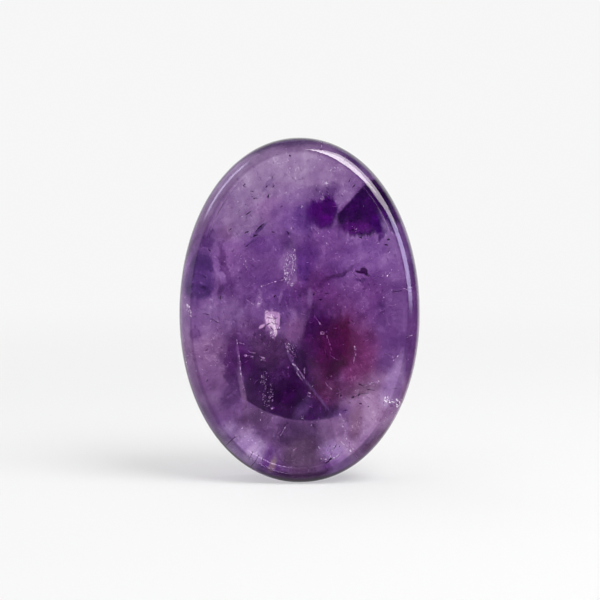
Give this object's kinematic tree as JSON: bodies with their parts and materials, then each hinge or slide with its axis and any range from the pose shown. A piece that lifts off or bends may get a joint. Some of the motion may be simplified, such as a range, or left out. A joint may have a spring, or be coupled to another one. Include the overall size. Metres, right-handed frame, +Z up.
{
  "type": "amethyst worry stone",
  "caption": "Oval palm stone of polished amethyst with a shallow thumb dish in its front, a rounded edge and a domed back, standing on a small flat at its foot.",
  "frame": {"origin": "on the small flat that the stone stands on, under the middle of its bounding box", "axes": "+Z up the stone's length, +X across its width, -Y the way the dished front faces"},
  "size_m": [0.035, 0.0096, 0.05],
  "materials": {
    "amethyst": "tumble-polished, clear purple quartz with pale veils and dark colour zones"
  },
  "bodies": {
    "root": {"worry_stone": "amethyst"}
  },
  "joints": []
}
